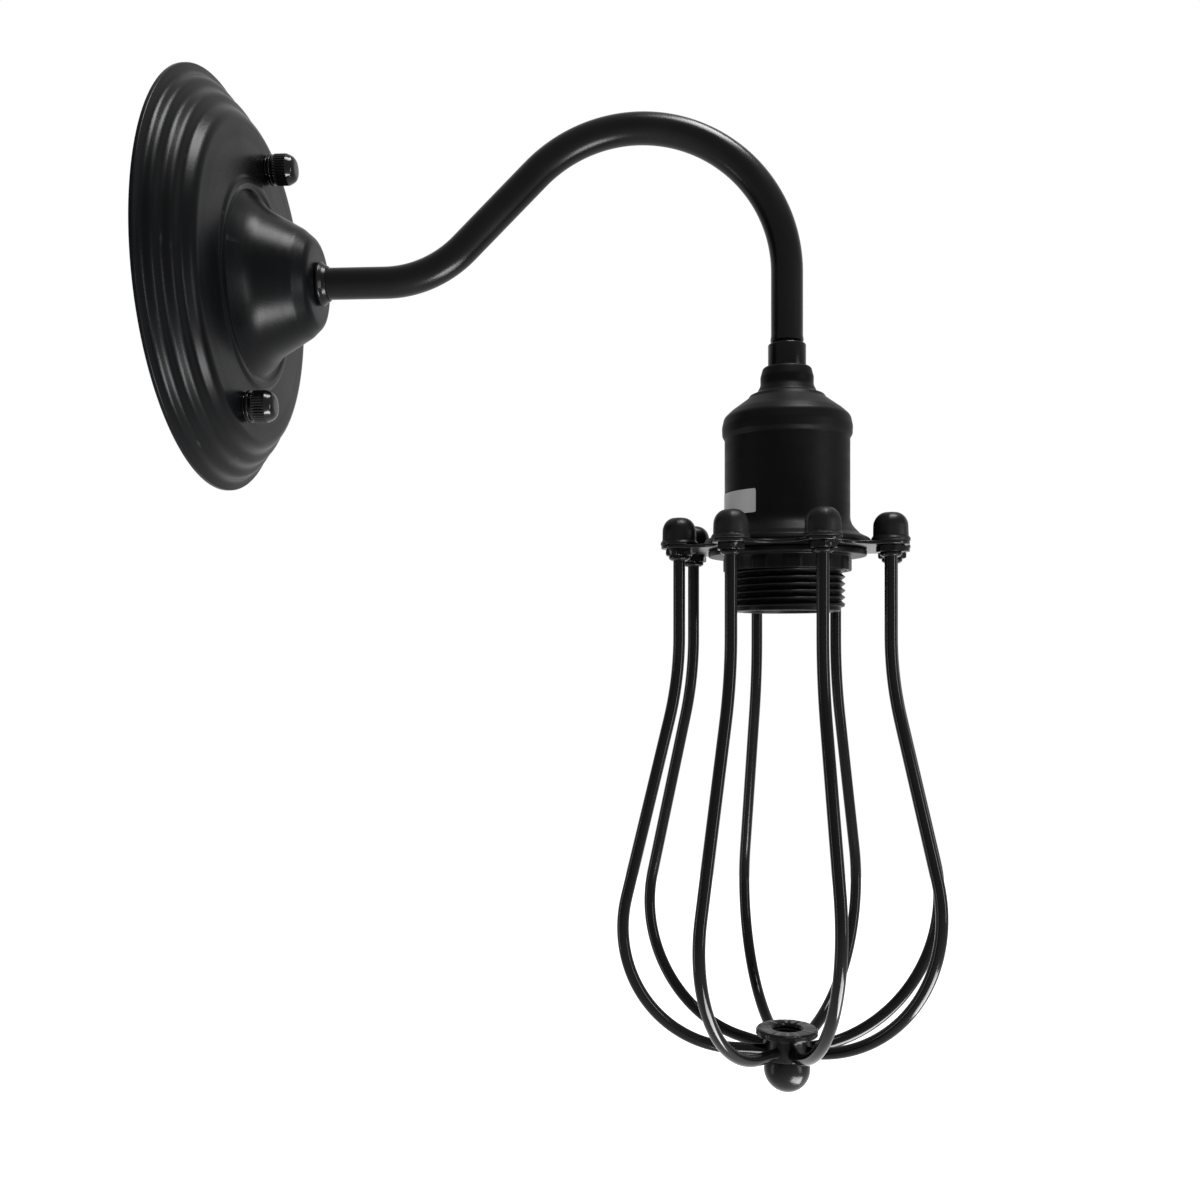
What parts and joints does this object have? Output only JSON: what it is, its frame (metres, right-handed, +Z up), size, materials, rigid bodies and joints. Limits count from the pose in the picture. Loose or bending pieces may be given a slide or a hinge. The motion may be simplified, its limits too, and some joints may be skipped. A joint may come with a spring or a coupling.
{
  "type": "cage wall light",
  "caption": "Swan-neck wall light: a round stepped canopy carries a bent tube arm, a metal-covered screw-shell lampholder and an open wire cage held by a shade ring.",
  "frame": {"origin": "on the wall, in the middle of the strap's wall-screw circle and level with the arm's base", "axes": "+Z up, +Y into the wall, so the light reaches out along -Y; the arm lies in the plane X = 0"},
  "size_m": [0.142, 0.253, 0.3484],
  "materials": {
    "zinc_steel": "zinc-plated, bright",
    "brass": "drawn and turned brass, plain",
    "canopy_black": "satin black powder coat on spun steel",
    "arm_black": "satin black powder coat on steel tube",
    "holder_black": "matte black lacquer with faint spinning lines",
    "knob_black": "gloss black, knurled",
    "connector_ivory": "moulded, matte",
    "socket_ceramic": "unglazed pressed ceramic",
    "lead_brown": "extruded insulation",
    "lead_blue": "extruded insulation",
    "lead_green": "extruded insulation",
    "label_foil": "blank satin foil label",
    "socket_black": "moulded, low sheen",
    "wire_black": "gloss black enamel on steel",
    "cap_black": "semi-matte black coat on cast nuts",
    "hub_black": "gloss black over a rough casting"
  },
  "bodies": {
    "root": {"wall_bracket": "zinc_steel", "fixing_studs": "brass", "stud_nuts": "zinc_steel", "thumb_washers": "knob_black", "canopy": "canopy_black", "earth_screw": "brass", "terminal_block": "connector_ivory", "terminal_screws": "brass", "arm_nut": "zinc_steel", "lock_washer": "zinc_steel", "arm_collar": "arm_black", "arm_tube": "arm_black", "live_lead": "lead_brown", "neutral_lead": "lead_blue", "earth_lead": "lead_green", "coupling_collar": "arm_black", "holder_cover": "holder_black", "cover_nut": "zinc_steel", "rating_label": "label_foil", "socket_cap": "socket_black", "socket_base": "socket_ceramic", "socket_sleeve": "socket_black", "screw_shell": "brass", "socket_terminals": "brass", "socket_screws": "zinc_steel", "contact_foot": "brass"},
    "thumb_nut_upper": {"thumb_nut_upper": "knob_black"},
    "thumb_nut_lower": {"thumb_nut_lower": "knob_black"},
    "contact": {"centre_contact": "brass"},
    "cage": {"cage_plate": "wire_black", "cage_wire_1": "wire_black", "cage_wire_2": "wire_black", "cage_wire_3": "wire_black", "cage_wire_4": "wire_black", "cage_wire_5": "wire_black", "cage_wire_6": "wire_black", "cage_wire_7": "wire_black", "cage_wire_8": "wire_black", "cage_cap_nuts": "cap_black", "cage_lock_nuts": "wire_black", "cage_hub": "hub_black", "finial_ball": "hub_black"},
    "shade_ring": {"shade_ring": "socket_black"}
  },
  "joints": [
    {"name": "thumb_nut_upper_turn", "type": "hinge", "parent": "root", "child": "thumb_nut_upper", "pos_m": [0.01113, -0.0195, 0.04463], "axis": [0, -1, 0], "continuous": true},
    {"name": "thumb_nut_lower_turn", "type": "hinge", "parent": "root", "child": "thumb_nut_lower", "pos_m": [-0.01113, -0.0195, -0.04463], "axis": [0, -1, 0], "continuous": true},
    {"name": "contact_press", "type": "hinge", "parent": "root", "child": "contact", "pos_m": [0.0046, -0.19784, -0.08605], "axis": [0, 1, 0], "range_deg": [0, 10], "stiffness_Nm_per_rad": 0.02},
    {"name": "cage_drop", "type": "slide", "parent": "root", "child": "cage", "axis": [0, 0, -1], "range_m": [0, 0.0207]},
    {"name": "ring_turn", "type": "hinge", "parent": "cage", "child": "shade_ring", "pos_m": [0, -0.19784, -0.09745], "axis": [0, 0, -1], "range_deg": [0, 3245]}
  ],
  "couplings": [
    {"joint": "ring_turn", "follows": "cage_drop", "rad_per_m": 2731.8}
  ]
}
